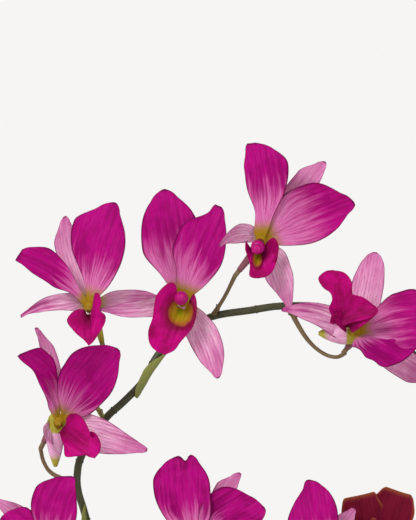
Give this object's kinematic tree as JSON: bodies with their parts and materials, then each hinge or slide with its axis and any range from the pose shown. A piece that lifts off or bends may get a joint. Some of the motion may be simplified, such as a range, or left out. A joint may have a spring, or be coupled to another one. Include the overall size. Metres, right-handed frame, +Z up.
{
  "type": "potted dendrobium orchid",
  "caption": "Potted dendrobium orchid: leafy canes in a tapered pot and arching sprays of magenta blooms with pale sepals, deep lips and buds.",
  "frame": {"origin": "middle of the pot's flat foot, on the surface it stands on", "axes": "+Z up, -Y towards the side that the blooms face, +X to the right of that side"},
  "size_m": [0.2697, 0.2292, 0.4506],
  "materials": {
    "pot_clay": "matte",
    "bark_mix": "matte",
    "cane_and_leaf": "satin",
    "spray_stem": "satin",
    "bud": "satin",
    "petal": "satin",
    "sepal": "satin",
    "lip": "satin",
    "faded_petal": "matte",
    "faded_sepal": "matte"
  },
  "bodies": {
    "root": {"pot": "pot_clay", "growing_medium": "bark_mix", "flowering_cane_left": "cane_and_leaf", "flowering_cane_middle": "cane_and_leaf", "leafy_cane_back": "cane_and_leaf", "young_shoot_right": "cane_and_leaf", "upper_spray_stem": "spray_stem", "lower_spray_stem": "spray_stem", "bud_upper_1": "bud", "bud_upper_2": "bud", "bud_upper_3": "bud", "bud_lower_1": "bud", "bud_lower_2": "bud", "bud_lower_3": "bud", "bloom_a_sepals": "sepal", "bloom_a_petals": "petal", "bloom_a_lip": "lip", "bloom_b_sepals": "sepal", "bloom_b_petals": "petal", "bloom_b_lip": "lip", "bloom_c_sepals": "sepal", "bloom_c_petals": "petal", "bloom_c_lip": "lip", "bloom_d_sepals": "sepal", "bloom_d_petals": "petal", "bloom_d_lip": "lip", "bloom_e_sepals": "sepal", "bloom_e_petals": "petal", "bloom_e_lip": "lip", "bloom_f_sepals": "sepal", "bloom_f_petals": "petal", "bloom_f_lip": "lip", "bloom_g_sepals": "sepal", "bloom_g_petals": "petal", "bloom_g_lip": "lip", "bloom_h_sepals": "sepal", "bloom_h_petals": "petal", "bloom_h_lip": "lip", "bloom_i_sepals": "faded_sepal", "bloom_i_petals": "faded_petal", "bloom_i_lip": "faded_petal", "bloom_j_sepals": "sepal", "bloom_j_petals": "petal", "bloom_j_lip": "lip", "bloom_k_sepals": "sepal", "bloom_k_petals": "petal", "bloom_k_lip": "lip"}
  },
  "joints": []
}
